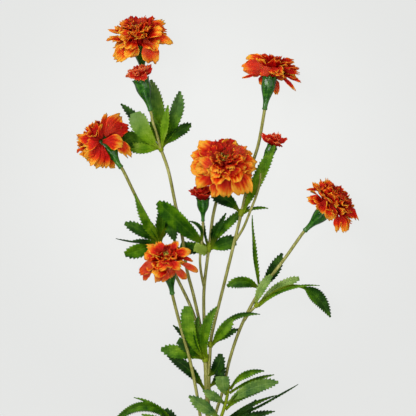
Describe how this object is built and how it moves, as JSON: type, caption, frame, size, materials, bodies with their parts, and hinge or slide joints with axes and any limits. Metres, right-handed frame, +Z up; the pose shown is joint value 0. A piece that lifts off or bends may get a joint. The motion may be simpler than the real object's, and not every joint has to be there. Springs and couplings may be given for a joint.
{
  "type": "marigold spray",
  "caption": "Cut spray of double orange-red marigolds with half-open buds, green cups and toothed leaves on one branching olive stem, lying on its side.",
  "frame": {"origin": "on the surface that the spray lies on, under the fork of its main stem", "axes": "+Y up the stem towards the blooms, +X to the right as seen from above, +Z up from the surface"},
  "size_m": [0.2788, 0.5366, 0.0672],
  "materials": {
    "stem": "satin",
    "leaf": "matte",
    "calyx": "semi-gloss",
    "petal": "matte",
    "bud": "matte",
    "centre": "matte"
  },
  "bodies": {
    "root": {"stem": "stem", "leaves_top": "leaf", "leaves_left": "leaf", "leaves_middle": "leaf", "leaves_strap": "leaf", "leaves_right": "leaf", "leaves_arching": "leaf", "leaves_fork": "leaf", "leaves_fork_right": "leaf", "leaves_trunk": "leaf", "leaves_front": "leaf", "leaves_low": "leaf", "petals_top": "petal", "centre_top": "centre", "calyx_top": "calyx", "petals_left": "petal", "centre_left": "centre", "calyx_left": "calyx", "petals_right_top": "petal", "centre_right_top": "centre", "calyx_right_top": "calyx", "petals_middle": "petal", "centre_middle": "centre", "calyx_middle": "calyx", "petals_low": "petal", "centre_low": "centre", "calyx_low": "calyx", "petals_right": "petal", "centre_right": "centre", "calyx_right": "calyx", "bud_top": "bud", "bud_calyx_top": "calyx", "bud_middle": "bud", "bud_calyx_middle": "calyx", "bud_right": "bud", "bud_calyx_right": "calyx"}
  },
  "joints": []
}
